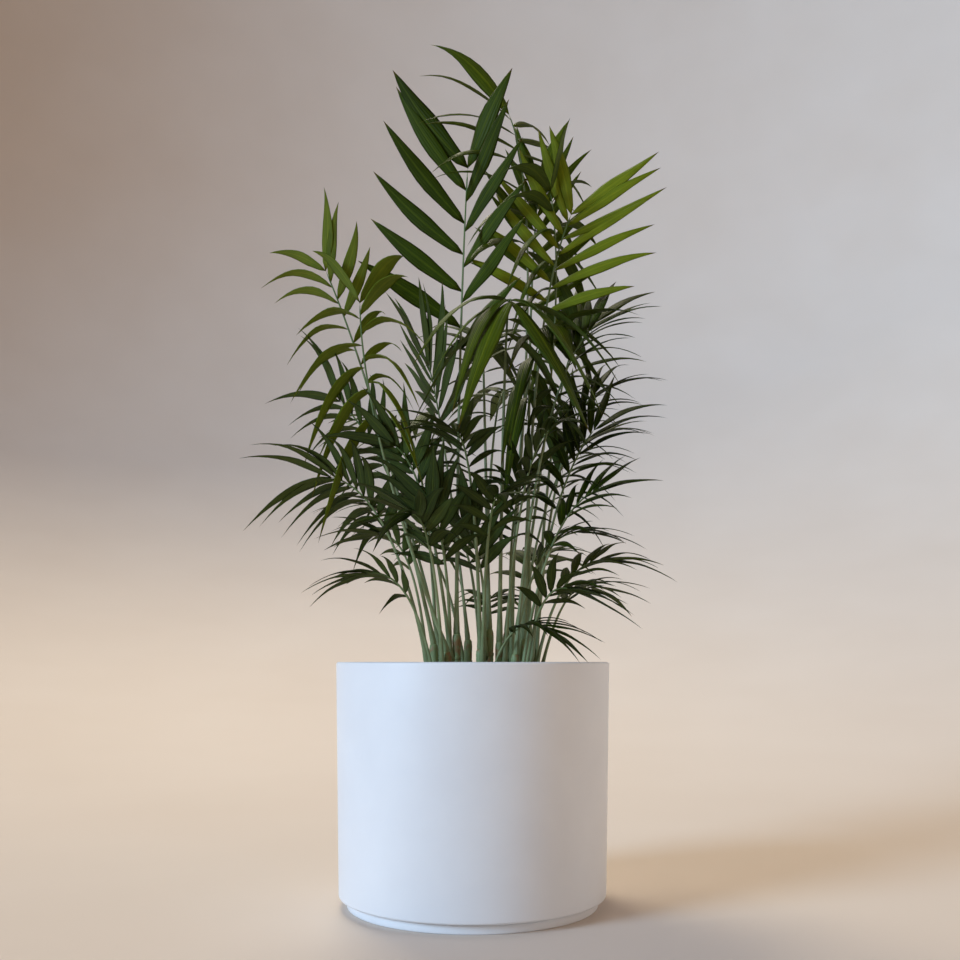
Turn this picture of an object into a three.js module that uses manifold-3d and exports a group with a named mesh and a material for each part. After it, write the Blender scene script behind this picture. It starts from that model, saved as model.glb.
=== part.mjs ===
// A parlour palm: a clump of seedlings in a round ceramic planter on its saucer.
// Millimetres, +Z up. The origin is the middle of the saucer's underside.
import * as THREE from "three";
import { mergeVertices } from "three/addons/utils/BufferGeometryUtils.js";
import Module from "manifold-3d";

// Planter: an open drum with a slight draft, a rounded lip and a foot that drops into the saucer. Its body
// stops short of the saucer's edge by the shadow gap.
const rimRadius = 108;
const baseRadius = 102;
const bodyHeight = 174.6;
const wall = 7;
const floorThickness = 9;
const lipRadius = 2.5;
const baseEdgeRadius = 2;
const shadowGap = 1;
const drainRadius = 7;
const potSides = 44;
const cornerSteps = 2;

// Saucer: a shallow dish, slimmer than the planter.
const saucerFloor = 3.2;
const saucerWall = 4;
const saucerHeight = 6.4;
const saucerEdgeRadius = 1.5;
const saucerRadius = 95.7;
const footClearance = 1;

// Potting soil: it fills the planter to below the lip and falls away a little at the wall.
const headspace = 22;
const soilFall = 5;
const soilFallWidth = 20;

// Plant: how high the tallest midrib stands above the soil, and how thick its pieces are.
const clumpHeight = 524;
const stemTopRadius = 3;
const stemFootRadius = 3.6;
const stemDepth = 24;
const stalkRadius = 2;
const rachisRadius = 1.1;
const bladeRidge = 1;
const stalkSteps = 4;
const rachisSteps = 3;
const ribSides = 4;
const stemSides = 8;
const firstSheath = 13;
const sheathSpacing = 9;
const ribOverlap = 0.03;

// The air left between pieces that touch in life, and round a leaflet that crosses another.
const gap = 0.3;
const bladeGap = 0.4;

const potting = "#3b2a20";
const cane = "#5d7a3a";
const deepGreen = "#24401a";
const limeGreen = "#93a832";
const ceramic = "#e9e7e6";

// Seedlings, drawn above the middle of the soil: where each stem leaves the soil, and its head.
const drawnHeight = 524;
const seedlings = [
  { foot: [-29, -9], head: [-31, -10, 36] },
  { foot: [-19, -25], head: [-20, -26, 30] },
  { foot: [-12, -7], head: [-13, -8, 44] },
  { foot: [-4, 13], head: [-4, 14, 40] },
  { foot: [6, -21], head: [6, -22, 32] },
  { foot: [13, 2], head: [13, 3, 48] },
  { foot: [20, -13], head: [21, -14, 38] },
  { foot: [27, 13], head: [28, 14, 46] },
  { foot: [31, -32], head: [33, -34, 28] },
  { foot: [39, -8], head: [41, -9, 40] },
  { foot: [44, 11], head: [46, 12, 34] },
  { foot: [-25, 16], head: [-27, 17, 32] },
  { foot: [8, 32], head: [9, 34, 30] },
  { foot: [31, 36], head: [32, 38, 26] },
  { foot: [50, 30], head: [52, 31, 30] },
];

// How a frond is made: its pairs of leaflets, the longest one's length and width, the share of the midrib
// that stays bare, the angles between leaflet and midrib at the lowest pair and at the tip, how far the
// pairs lift into a V, how far they droop, and how far they sweep towards the tip. A lone kind ends in one
// leaflet, and an uneven one is shorter on one side by that share.
const spire = {
  pairs: 6, length: 124, width: 14.5, bare: 0.55, spread: [52, 35],
  lift: 22, droop: 0.16, sweep: 0.1, segments: 3, uneven: 0.22,
};
const tall = {
  pairs: 7, length: 114, width: 13, bare: 0.64, spread: [64, 33],
  lift: 6, droop: 0.16, sweep: 0.12, segments: 3,
};
const fan = {
  pairs: 7, length: 112, width: 13, bare: 0.6, spread: [52, 22],
  lift: 8, droop: 0.22, sweep: 0.1, segments: 3,
};
const crest = {
  pairs: 8, length: 94, width: 10.5, bare: 0.55, spread: [84, 58],
  lift: 0, droop: 0.62, sweep: 0.1, segments: 3, lone: true,
};
const ribbon = {
  pairs: 7, length: 94, width: 9.5, bare: 0.58, spread: [66, 26],
  lift: 6, droop: 0.85, sweep: 0.1, segments: 3,
};
const arching = {
  pairs: 7, length: 96, width: 12, bare: 0.58, spread: [66, 28],
  lift: 8, droop: 0.75, sweep: 0.12, segments: 3,
};
const hanging = {
  pairs: 6, length: 112, width: 12, bare: 0.6, spread: [98, 30],
  lift: 0, droop: 1.35, sweep: 0.05, segments: 3,
};
const feather = {
  pairs: 9, length: 84, width: 8, bare: 0.5, spread: [62, 28],
  lift: 12, droop: 0.62, sweep: 0.14, segments: 2,
};
const young = {
  pairs: 6, length: 64, width: 9, bare: 0.5, spread: [54, 24],
  lift: 12, droop: 0.4, sweep: 0.12, segments: 2,
};

// Fronds: the stem that bears each, the bend and tip of its midrib above the middle of the soil, its kind,
// how far its leaflets roll about the midrib in degrees, its size, and how light its green is.
const fronds = [
  { stem: 3, bend: [-13, -8, 280], tip: [-5, 2, 446], kind: spire, roll: 16, size: 1, light: 0.25 },
  { stem: 8, bend: [66, 34, 432], tip: [32, 38, 517], kind: crest, roll: 56, size: 1.25, light: 0.4 },
  { stem: 10, bend: [46, -12, 310], tip: [84, -4, 400], kind: tall, roll: 72, size: 0.84, light: 0.95 },
  { stem: 11, bend: [46, 36, 340], tip: [60, 50, 452], kind: fan, roll: 10, size: 0.72, light: 0.5 },
  { stem: 1, bend: [-78, -10, 240], tip: [-124, -12, 346], kind: ribbon, roll: 55, size: 1, light: 0.8 },
  { stem: 2, bend: [-90, -28, 212], tip: [-92, -34, 310], kind: hanging, roll: 50, size: 1, light: 0.85 },
  { stem: 4, bend: [-24, 34, 220], tip: [-38, 18, 272], kind: tall, roll: 25, size: 0.8, light: 0.12 },
  { stem: 6, bend: [8, 40, 330], tip: [8, 92, 320], kind: feather, roll: 0, size: 1.2, light: 0.1 },
  { stem: 7, bend: [26, -26, 336], tip: [30, -66, 300], kind: hanging, roll: 0, size: 1.15, light: 0.5 },
  { stem: 9, bend: [50, -36, 230], tip: [94, -30, 287], kind: arching, roll: 35, size: 0.8, light: 0.12 },
  { stem: 11, bend: [64, 16, 210], tip: [104, 26, 249], kind: feather, roll: 30, size: 0.9, light: 0.08 },
  { stem: 10, bend: [60, -16, 160], tip: [98, -20, 207], kind: feather, roll: 55, size: 0.9, light: 0.05 },
  { stem: 9, bend: [54, -42, 130], tip: [93, -46, 152], kind: young, roll: 35, size: 0.95, light: 0.1 },
  { stem: 7, bend: [44, -24, 122], tip: [84, -16, 124], kind: young, roll: 10, size: 0.8, light: 0.1 },
  { stem: 10, bend: [68, -4, 102], tip: [107, 0, 104], kind: young, roll: 20, size: 0.9, light: 0.3 },
  { stem: 9, bend: [48, -52, 84], tip: [72, -62, 76], kind: young, roll: -20, size: 0.85, light: 0.05 },
  { stem: 5, bend: [28, -46, 60], tip: [54, -58, 48], kind: young, roll: 10, size: 0.75, light: 0.05 },
  { stem: 1, bend: [-66, -8, 160], tip: [-116, -4, 171], kind: feather, roll: 40, size: 1.05, light: 0.05 },
  { stem: 12, bend: [-58, 20, 184], tip: [-114, 24, 242], kind: feather, roll: 45, size: 1, light: 0.15 },
  { stem: 2, bend: [-46, -32, 96], tip: [-82, -34, 90], kind: young, roll: 15, size: 0.85, light: 0.2 },
  { stem: 12, bend: [-46, 12, 124], tip: [-76, 10, 126], kind: young, roll: 20, size: 0.9, light: 0.1 },
  { stem: 3, bend: [-34, -22, 172], tip: [-62, -28, 192], kind: young, roll: 35, size: 1.05, light: 0.05 },
  { stem: 5, bend: [2, -30, 190], tip: [-12, -60, 196], kind: feather, roll: 0, size: 0.8, light: 0.05 },
  { stem: 5, bend: [10, -44, 148], tip: [20, -70, 146], kind: young, roll: 10, size: 0.95, light: 0.05 },
  { stem: 7, bend: [36, -30, 186], tip: [60, -52, 200], kind: feather, roll: 30, size: 0.85, light: 0.05 },
  { stem: 2, bend: [-30, -46, 136], tip: [-46, -66, 132], kind: young, roll: -10, size: 1.1, light: 0.05 },
  { stem: 6, bend: [12, -2, 102], tip: [-6, -20, 130], kind: young, roll: 0, size: 1.1, light: 0.05 },
  { stem: 8, bend: [36, 1, 270], tip: [60, -28, 288], kind: hanging, roll: 20, size: 1, light: 0.35 },
  { stem: 13, bend: [14, 60, 260], tip: [30, 112, 276], kind: arching, roll: 0, size: 1, light: 0.2 },
  { stem: 12, bend: [-40, 46, 211], tip: [-66, 88, 238], kind: arching, roll: 0, size: 1, light: 0.2 },
  { stem: 14, bend: [56, 62, 180], tip: [98, 88, 220], kind: feather, roll: 10, size: 1, light: 0.15 },
  { stem: 4, bend: [-26, 56, 136], tip: [-80, 78, 156], kind: feather, roll: 10, size: 0.95, light: 0.1 },
  { stem: 13, bend: [0, 64, 140], tip: [-22, 112, 140], kind: young, roll: 0, size: 1.15, light: 0.1 },
  { stem: 14, bend: [44, 80, 120], tip: [62, 116, 120], kind: young, roll: 0, size: 1.15, light: 0.1 },
  { stem: 3, bend: [-18, -24, 110], tip: [-32, -42, 142], kind: young, roll: 20, size: 1, light: 0.05 },
  { stem: 13, bend: [12, 60, 80], tip: [16, 96, 80], kind: young, roll: 0, size: 0.95, light: 0.1 },
  { stem: 15, bend: [76, 46, 90], tip: [100, 54, 86], kind: young, roll: 0, size: 0.85, light: 0.1 },
  { stem: 15, bend: [66, 38, 260], tip: [96, 58, 316], kind: arching, roll: 30, size: 0.95, light: 0.3 },
  { stem: 8, bend: [26, 0, 140], tip: [42, -18, 170], kind: feather, roll: 10, size: 0.75, light: 0.05 },
  { stem: 14, bend: [86, 28, 320], tip: [66, -6, 420], kind: hanging, roll: 10, size: 0.95, light: 0.3 },
];

// How much leaflets vary: in place along the midrib, in angle to it, in lift in degrees, in droop, in length
// and in width. The second leaflet of a pair starts lower by the stagger, both as shares of a pair's spacing.
const vary = { place: 0.15, spread: 5, lift: 7, droop: 0.3, length: 0.08, width: 0.08 };
const stagger = 0.35;
const lastWidth = 1.25;
const loneSpread = 12;
const loneLength = 1.2;

const up = new THREE.Vector3(0, 0, 1);
const bodyFoot = saucerHeight + shadowGap;
const rimHeight = bodyFoot + bodyHeight;
const footLevel = saucerFloor + gap;
const floorLevel = footLevel + floorThickness;
const soilLevel = rimHeight - headspace;
const draft = (rimRadius - baseRadius) / bodyHeight;
const innerRadius = (z) => baseRadius + draft * (z - bodyFoot) - wall;

const wasm = await Module();
wasm.setup();

// A closed three.js geometry as a solid that can be joined and cut.
function solidOf(geometry) {
  const bare = geometry.clone();
  bare.deleteAttribute("normal");
  bare.deleteAttribute("uv");
  const merged = mergeVertices(bare, 1e-4);
  const vertProperties = merged.attributes.position.array;
  const triVerts = new Uint32Array(merged.index.array);
  return new wasm.Manifold(new wasm.Mesh({ numProp: 3, vertProperties, triVerts }));
}

function geometryOf(solid) {
  const { vertProperties, triVerts } = solid.getMesh();
  const geometry = new THREE.BufferGeometry();
  geometry.setAttribute("position", new THREE.BufferAttribute(vertProperties, 3));
  geometry.setIndex(new THREE.BufferAttribute(triVerts, 1));
  return geometry;
}

const union = (solids) => wasm.Manifold.union(solids);

const point = (radius, z) => new THREE.Vector2(radius, z);

// Points of a quarter turn from one heading to the next, about a centre in the lathe's plane.
function quarter(x, y, radius, from) {
  const turn = (i) => THREE.MathUtils.degToRad(from + (90 * i) / cornerSteps);
  const at = (i) => point(x + radius * Math.cos(turn(i)), y + radius * Math.sin(turn(i)));
  return Array.from({ length: cornerSteps + 1 }, (_, i) => at(i));
}

function turned(outline) {
  return new THREE.LatheGeometry(outline, potSides).rotateX(Math.PI / 2);
}

function planterGeometry() {
  const footRadius = saucerRadius - saucerWall - footClearance;
  const outline = [
    point(drainRadius, footLevel),
    point(footRadius, footLevel),
    point(footRadius, bodyFoot),
    ...quarter(baseRadius - baseEdgeRadius, bodyFoot + baseEdgeRadius, baseEdgeRadius, 270),
    ...quarter(rimRadius - lipRadius, rimHeight - lipRadius, lipRadius, 0),
    ...quarter(rimRadius - wall + lipRadius, rimHeight - lipRadius, lipRadius, 90),
    point(innerRadius(floorLevel), floorLevel),
    point(drainRadius, floorLevel),
    point(drainRadius, footLevel),
  ];
  return turned(outline);
}

function saucerGeometry() {
  const inner = saucerRadius - saucerWall;
  const outline = [
    point(0, 0),
    point(saucerRadius - saucerEdgeRadius, 0),
    ...quarter(saucerRadius - saucerEdgeRadius, saucerHeight - saucerEdgeRadius, saucerEdgeRadius, 0),
    point(inner, saucerHeight),
    point(inner, saucerFloor),
    point(0, saucerFloor),
  ];
  return turned(outline);
}

// The ball of soil, before the stems are let into it. Its top is at z = 0, as for the rest of the plant.
function soilGeometry() {
  const bottom = floorLevel + gap;
  const edge = soilLevel - soilFall;
  const outline = [
    point(0, bottom - soilLevel),
    point(innerRadius(bottom) - gap, bottom - soilLevel),
    point(innerRadius(edge) - gap, -soilFall),
    point(innerRadius(soilLevel) - soilFallWidth, 0),
    point(0, 0),
  ];
  return turned(outline);
}

// The room that the planter takes up, which no leaflet may enter.
function planterRoom() {
  const outline = [
    point(0, -soilLevel),
    point(rimRadius + gap, -soilLevel),
    point(rimRadius + gap, headspace + gap),
    point(0, headspace + gap),
  ];
  return turned(outline);
}

const grown = clumpHeight / drawnHeight;
const placed = ([x, y, z]) => new THREE.Vector3(x, y, z).multiplyScalar(grown);

// A seedling's stem as a straight tapering cane, rooted below the soil. `spare` thickens it all round.
function stemPlace(seedling) {
  const foot = placed([...seedling.foot, 0]);
  const head = placed(seedling.head);
  const along = head.clone().sub(foot).normalize();
  const root = foot.clone().addScaledVector(along, -stemDepth);
  return { head, root, along };
}

function stemGeometry(seedling, spare) {
  const { head, root, along } = stemPlace(seedling);
  const length = head.distanceTo(root) + 2 * spare;
  const cane = new THREE.CylinderGeometry(stemTopRadius + spare, stemFootRadius + spare, length, stemSides);
  const middle = head.clone().add(root).multiplyScalar(0.5);
  cane.applyQuaternion(new THREE.Quaternion().setFromUnitVectors(new THREE.Vector3(0, 1, 0), along));
  return cane.translate(middle.x, middle.y, middle.z);
}

// A repeatable scatter between -1 and 1, so that no two leaflets are quite alike.
function scatter(a, b) {
  const s = Math.sin(a * 127.1 + b * 311.7) * 43758.5453;
  return 2 * (s - Math.floor(s)) - 1;
}

// A frond's midrib. The tallest frond of a stem opens from its head, and the others from sheaths on its
// side, each lower one wrapped outside the one above it.
function midribOf(frond) {
  const { head, along } = stemPlace(seedlings[frond.stem - 1]);
  const taller = fronds.filter((other) => other.stem === frond.stem && other.tip[2] > frond.tip[2]).length;
  const tip = placed(frond.tip);
  const base = head.clone().addScaledVector(up, gap + stalkRadius / 2);
  if (taller > 0) {
    const outward = tip.clone().sub(head).setZ(0).normalize();
    const wraps = taller - 1;
    base.copy(head).addScaledVector(along, -(firstSheath + sheathSpacing * wraps));
    base.addScaledVector(outward, stemFootRadius + stalkRadius + gap + (2 * stalkRadius + gap) * wraps);
  }
  return new THREE.QuadraticBezierCurve3(base, placed(frond.bend), tip);
}

// A tube along part of a midrib.
function tube(midrib, from, to, radius, steps) {
  const rim = Array.from({ length: ribSides }, (_, i) => {
    const turn = (2 * Math.PI * i) / ribSides;
    return new THREE.Vector2(radius * Math.cos(turn), radius * Math.sin(turn));
  });
  const points = Array.from({ length: steps + 1 }, (_, i) => midrib.getPoint(from + ((to - from) * i) / steps));
  const extrudePath = new THREE.CatmullRomCurve3(points);
  return new THREE.ExtrudeGeometry(new THREE.Shape(rim), { steps, extrudePath });
}

// The leaflets of a frond: where each starts, its heading, the way across it, how it bows, and its size.
// The more a leaflet droops, the more it has turned its upper face to the sky.
function leafletsOf(frond, number) {
  const midrib = midribOf(frond);
  const kind = frond.kind;
  const reach = midrib.v2.clone().sub(midrib.v0).setZ(0).normalize();
  const leaflets = [];
  for (let pair = 0; pair < kind.pairs; pair++) {
    for (const hand of [1, -1]) {
      const last = pair === kind.pairs - 1;
      const lone = last && kind.lone;
      if (lone && hand < 0) continue;
      const share = pair / (kind.pairs - 1);
      const seed = 2 * pair + hand;
      const place = pair + (hand > 0 ? stagger : 0) + vary.place * scatter(number, seed);
      const at = last ? 1 : kind.bare + ((1 - kind.bare) * place) / (kind.pairs - 1);
      const along = midrib.getTangent(at);
      const across = new THREE.Vector3().crossVectors(up, reach);
      across.addScaledVector(along, -across.dot(along)).normalize();
      across.applyAxisAngle(along, THREE.MathUtils.degToRad(lone ? 0 : frond.roll));
      const face = new THREE.Vector3().crossVectors(along, across);
      const spread = lone ? loneSpread : THREE.MathUtils.lerp(kind.spread[0], kind.spread[1], share);
      const angle = THREE.MathUtils.degToRad(spread + vary.spread * scatter(number + 3, seed));
      const lift = THREE.MathUtils.degToRad(kind.lift + vary.lift * scatter(number + 5, seed));
      const aside = across.multiplyScalar(hand * Math.cos(lift)).addScaledVector(face, Math.sin(lift));
      const heading = along.clone().multiplyScalar(Math.cos(angle)).addScaledVector(aside, Math.sin(angle));
      const droop = kind.droop * (1 + vary.droop * scatter(number + 11, seed)) * (1.2 - 0.65 * share);
      const level = Math.sqrt(Math.max(0, 1 - heading.z ** 2)) + 0.08;
      const bow = along.clone().multiplyScalar(kind.sweep).addScaledVector(up, -droop * level);
      const swell = 0.75 + 0.25 * Math.sin(Math.PI * (0.15 + 0.6 * share));
      const size = frond.size * grown;
      const own = lone ? loneLength : hand < 0 ? 1 - (kind.uneven || 0) : 1;
      const arc = own * kind.length * size * swell * (1 + vary.length * scatter(number + 7, seed));
      leaflets.push({
        start: midrib.getPoint(at),
        heading,
        side: face.lerp(up, Math.min(0.9, droop)).cross(heading).normalize(),
        bow,
        length: arc / Math.sqrt(1 + 1.1 * bow.lengthSq()),
        width: kind.width * size * (last ? lastWidth : 1) * (1 + vary.width * scatter(number + 9, seed)),
        segments: kind.segments,
      });
    }
  }
  return leaflets;
}

// A blade's width as a share of its widest, from its base at 0 to its tip at 1.
function breadth(u) {
  const base = Math.min(1, (u / 0.24) ** 0.7);
  const taper = Math.min(1, (1 - u) / 0.56) ** 0.95;
  return base * taper;
}

// One leaflet as a thin blade with a ridge along its upper face, bent along its arc. `spare` thickens it.
function bladeGeometry(leaflet, spare) {
  const { start, heading, side, bow, length, width, segments } = leaflet;
  const flare = 1 + (4 * spare) / (3 * bladeRidge);
  const blade = new THREE.SphereGeometry(1, 3, segments);
  const position = blade.attributes.position;
  for (let i = 0; i < position.count; i++) {
    const along = ((1 - position.getY(i)) / 2) ** 1.25;
    const pole = along < 0.01 || along > 0.99;
    const u = along < 0.01 ? -1 / length : along;
    const tangent = heading.clone().addScaledVector(bow, 2 * u);
    const normal = tangent.cross(side).normalize();
    const edge = pole ? 0 : (Math.sign(Math.round(4 * position.getZ(i))) * width * flare * breadth(u)) / 2;
    const rise = pole ? 0 : position.getX(i) < 0 ? bladeRidge + spare : -bladeRidge / 2 - spare;
    const p = start.clone().addScaledVector(heading, length * u).addScaledVector(bow, length * u * u);
    p.addScaledVector(side, edge).addScaledVector(normal, rise);
    position.setXYZ(i, p.x, p.y, p.z);
  }
  return blade;
}

// A frond's stalk and midrib, thicker below the leaflets than between them.
function ribSolid(frond, spare) {
  const midrib = midribOf(frond);
  const { bare } = frond.kind;
  const stalk = tube(midrib, 0, bare, stalkRadius + spare, stalkSteps);
  const rachis = tube(midrib, bare - ribOverlap, 1, rachisRadius + spare, rachisSteps);
  return union([solidOf(stalk), solidOf(rachis)]);
}

function bladesSolid(leaflets, spare) {
  return union(leaflets.map((leaflet) => solidOf(bladeGeometry(leaflet, spare))));
}

// Fronds cross one another, so each one's leaflets are trimmed back from what stands in their way:
// the planter, the stems, every other midrib and the leaflets of the fronds before it.
function frondGeometries() {
  const stems = seedlings.map((seedling) => solidOf(stemGeometry(seedling, gap)));
  const midribs = fronds.map((frond) => ribSolid(frond, gap));
  const inTheWay = [solidOf(planterRoom()), ...stems];
  return fronds.map((frond, number) => {
    const leaflets = leafletsOf(frond, number);
    const others = midribs.filter((_, other) => other !== number);
    const blades = bladesSolid(leaflets, 0).subtract(union([...inTheWay, ...others]));
    inTheWay.push(bladesSolid(leaflets, bladeGap));
    const pieces = ribSolid(frond, 0).add(blades).decompose();
    const attached = pieces.reduce((a, b) => (b.volume() > a.volume() ? b : a));
    return geometryOf(attached);
  });
}

const surface = (color, roughness) => new THREE.MeshStandardMaterial({ color, roughness, metalness: 0 });
const padded = (number) => String(number + 1).padStart(2, "0");

function named(name, geometry, material) {
  const mesh = new THREE.Mesh(geometry, material);
  mesh.name = name;
  return mesh;
}

const glaze = surface(ceramic, 0.55);
const holder = new THREE.Group();
holder.add(named("saucer", saucerGeometry(), glaze), named("planter", planterGeometry(), glaze));

const plant = new THREE.Group();
plant.position.z = soilLevel;

const sockets = seedlings.map((seedling) => solidOf(stemGeometry(seedling, gap)));
const soil = solidOf(soilGeometry()).subtract(union(sockets));
plant.add(named("potting_soil", geometryOf(soil), surface(potting, 0.95)));

seedlings.forEach((seedling, number) => {
  plant.add(named("stem_" + padded(number), stemGeometry(seedling, 0), surface(cane, 0.6)));
});

frondGeometries().forEach((geometry, number) => {
  const frond = fronds[number];
  const base = midribOf(frond).v0;
  geometry.translate(-base.x, -base.y, -base.z);
  const green = new THREE.Color(deepGreen).lerp(new THREE.Color(limeGreen), frond.light);
  const mesh = named("frond_" + padded(number), geometry, surface(green, 0.5));
  mesh.position.copy(base);
  plant.add(mesh);
});

const palm = new THREE.Group();
palm.add(holder, plant);

export default palm;
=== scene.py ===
"""A young parlour palm: a clump of seedlings in a matt white planter on its saucer. Metres, +Z up."""
import math

import bpy
from mathutils import Matrix, Vector


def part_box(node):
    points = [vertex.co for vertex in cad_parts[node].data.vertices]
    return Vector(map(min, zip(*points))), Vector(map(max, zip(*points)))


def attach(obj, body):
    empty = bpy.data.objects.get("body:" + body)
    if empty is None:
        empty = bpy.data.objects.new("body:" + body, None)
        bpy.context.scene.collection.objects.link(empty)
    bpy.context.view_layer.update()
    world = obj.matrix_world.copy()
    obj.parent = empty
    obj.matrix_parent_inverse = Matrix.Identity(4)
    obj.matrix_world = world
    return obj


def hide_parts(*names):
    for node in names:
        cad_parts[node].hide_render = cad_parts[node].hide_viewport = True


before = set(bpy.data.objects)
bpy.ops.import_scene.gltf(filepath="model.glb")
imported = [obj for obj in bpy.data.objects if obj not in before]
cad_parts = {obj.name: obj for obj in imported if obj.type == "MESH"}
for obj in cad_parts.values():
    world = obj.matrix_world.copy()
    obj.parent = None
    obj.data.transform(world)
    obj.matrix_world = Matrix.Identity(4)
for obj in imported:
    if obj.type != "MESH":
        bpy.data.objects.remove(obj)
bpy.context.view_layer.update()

MM = 0.001
UP = Vector((0, 0, 1))

# Camera: a short tele view from just over the rim's height, tilted up a little.
CAMERA_PLACE = (0.0057, -0.836, 0.182)
CAMERA_TILT = 10
LENS = 38.7

camera = bpy.data.objects.new("camera", bpy.data.cameras.new("camera"))
camera.data.lens = LENS
camera.data.clip_start = 0.01
camera.location = CAMERA_PLACE
camera.rotation_euler = (math.radians(90 + CAMERA_TILT), 0, 0)
bpy.context.scene.collection.objects.link(camera)
bpy.context.scene.camera = camera


def linear(colour):
    """An sRGB hex colour as linear red, green, blue and alpha."""
    parts = [int(colour[i:i + 2], 16) / 255 for i in (1, 3, 5)]
    return (*[c / 12.92 if c <= 0.04045 else ((c + 0.055) / 1.055) ** 2.4 for c in parts], 1)


def node(material, kind, values=(), links=(), **settings):
    """Adds a shader node with its settings, the values on its sockets and what is linked to them."""
    made = material.node_tree.nodes.new("ShaderNode" + kind)
    for name, value in settings.items():
        setattr(made, name, value)
    for socket, value in dict(values).items():
        made.inputs[socket].default_value = value
    for socket, source in dict(links).items():
        material.node_tree.links.new(source, made.inputs[socket])
    return made


def new_material(name):
    material = bpy.data.materials.new(name)
    material.use_nodes = True
    material.node_tree.nodes.clear()
    return material


def finish_material(material, shader):
    output = material.node_tree.nodes.new("ShaderNodeOutputMaterial")
    material.node_tree.links.new(shader.outputs[0], output.inputs["Surface"])
    return material


MIX_FACTOR, MIX_A, MIX_B, MIX_RESULT = 0, 6, 7, 2  # the colour sockets of a Mix node


def matt_glaze():
    """Matt glazed stoneware: near white, with a soft wide highlight, faint clouding in the glaze and the
    slight unevenness of a sprayed coat."""
    m = new_material("matt_glazed_stoneware")
    place = node(m, "TexCoord")
    cloud = node(m, "TexNoise", {"Scale": 22, "Detail": 3, "Roughness": 0.55},
                 {"Vector": place.outputs["Object"]})
    pits = node(m, "TexNoise", {"Scale": 420, "Detail": 2}, {"Vector": place.outputs["Object"]})
    ripple = node(m, "TexNoise", {"Scale": 60, "Detail": 2}, {"Vector": place.outputs["Object"]})
    tint = node(m, "Mix", {MIX_A: linear("#e4e5e8"), MIX_B: linear("#eff0f2")},
                {MIX_FACTOR: cloud.outputs["Fac"]}, data_type="RGBA")
    sheen = node(m, "MapRange", {"To Min": 0.38, "To Max": 0.52}, {"Value": cloud.outputs["Fac"]})
    wave = node(m, "Bump", {"Strength": 0.25, "Distance": 0.4 * MM}, {"Height": ripple.outputs["Fac"]})
    grain = node(m, "Bump", {"Strength": 0.3, "Distance": 0.05 * MM},
                 {"Height": pits.outputs["Fac"], "Normal": wave.outputs["Normal"]})
    shader = node(m, "BsdfPrincipled", {"IOR": 1.52},
                  {"Base Color": tint.outputs[MIX_RESULT], "Roughness": sheen.outputs["Result"],
                   "Normal": grain.outputs["Normal"]})
    return finish_material(m, shader)


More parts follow.
